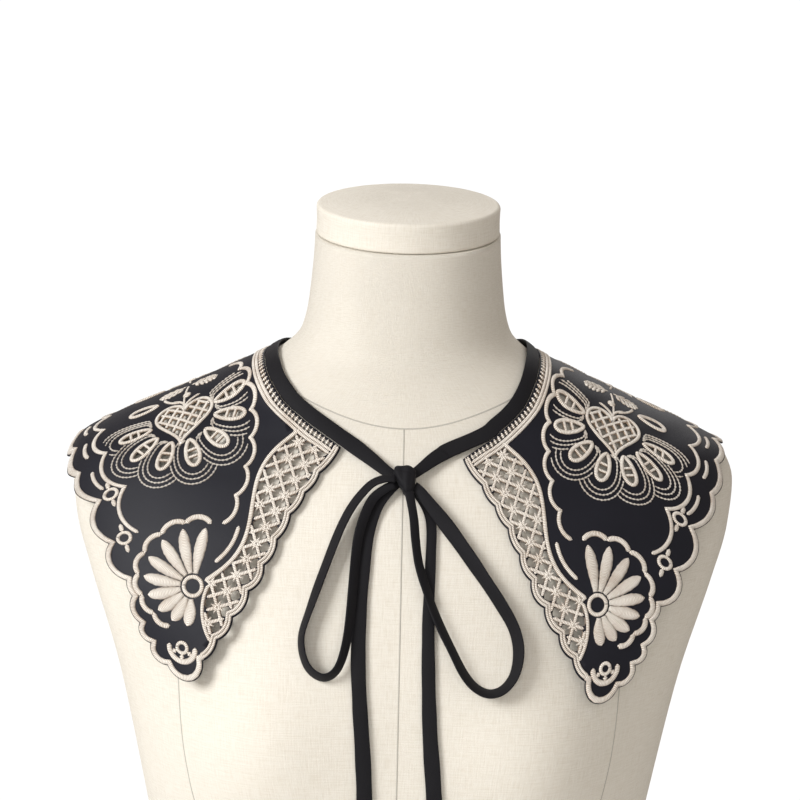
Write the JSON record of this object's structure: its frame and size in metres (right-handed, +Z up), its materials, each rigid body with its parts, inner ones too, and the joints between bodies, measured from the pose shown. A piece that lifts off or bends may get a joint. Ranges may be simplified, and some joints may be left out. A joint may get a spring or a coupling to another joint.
{
  "type": "cutwork collar scarf on a limbless dress form",
  "caption": "Scalloped cutwork collar scarf with floral satin-stitch embroidery and a bias tie bow, worn by a plain limbless dress form that stands on its flat base.",
  "frame": {"origin": "centre of the dress form's flat base, on the surface it stands on", "axes": "+Z up along the form, -Y towards the front where the bow is, +X towards the viewer's right when facing the front"},
  "size_m": [0.3905, 0.2429, 0.7221],
  "materials": {
    "form_cover": "matte natural linen",
    "collar_cloth": "navy black satin with soft sheen",
    "embroidery": "ivory rayon satin stitch",
    "tie_crepe": "matte black crepe"
  },
  "bodies": {
    "root": {"form_body": "form_cover", "form_neck_cap": "form_cover", "collar_left": "collar_cloth", "collar_right": "collar_cloth", "binding_left": "tie_crepe", "binding_right": "tie_crepe", "tie_knot": "tie_crepe", "tie_loop_left": "tie_crepe", "tie_loop_right": "tie_crepe", "tie_tail_left": "tie_crepe", "tie_tail_right": "tie_crepe"}
  },
  "joints": []
}
